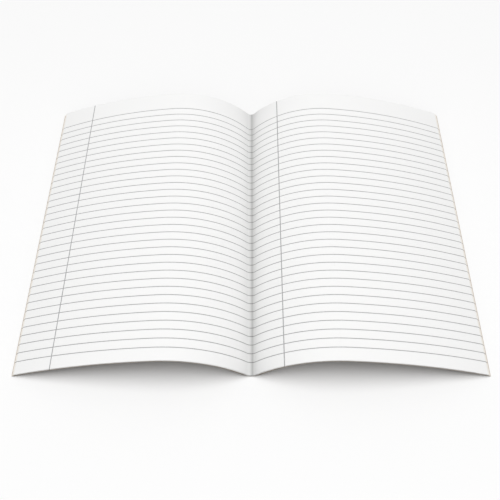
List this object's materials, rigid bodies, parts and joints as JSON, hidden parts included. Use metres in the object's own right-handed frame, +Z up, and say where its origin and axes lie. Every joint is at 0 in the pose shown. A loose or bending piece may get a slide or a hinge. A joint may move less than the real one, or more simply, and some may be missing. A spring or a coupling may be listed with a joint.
{
  "type": "open composition notebook",
  "caption": "Open soft-cover ruled notebook lying face up, its halves arched from the fold to the fore edges, with card covers hinged at a taped spine.",
  "frame": {"origin": "on the surface below the notebook, at the middle of the spine", "axes": "+X across the spread to the right-hand page, +Y along the spine to the head of the pages, +Z up"},
  "size_m": [0.3988, 0.297, 0.033],
  "materials": {
    "leaf_paper": "matte",
    "cover_card": "matte",
    "binding_tape": "satin",
    "staple_wire": "satin"
  },
  "bodies": {
    "leaves": {"pages": "leaf_paper", "staples": "staple_wire", "spine_tape": "binding_tape"},
    "front_cover": {"front_cover": "cover_card"},
    "back_cover": {"back_cover": "cover_card"}
  },
  "joints": [
    {"name": "front_cover_hinge", "type": "hinge", "parent": "leaves", "child": "front_cover", "pos_m": [-0.00625, 0, 0.00317], "axis": [0, -1, 0], "range_deg": [0, 90]},
    {"name": "back_cover_hinge", "type": "hinge", "parent": "leaves", "child": "back_cover", "pos_m": [0.00625, 0, 0.00317], "axis": [0, 1, 0], "range_deg": [0, 90]}
  ]
}
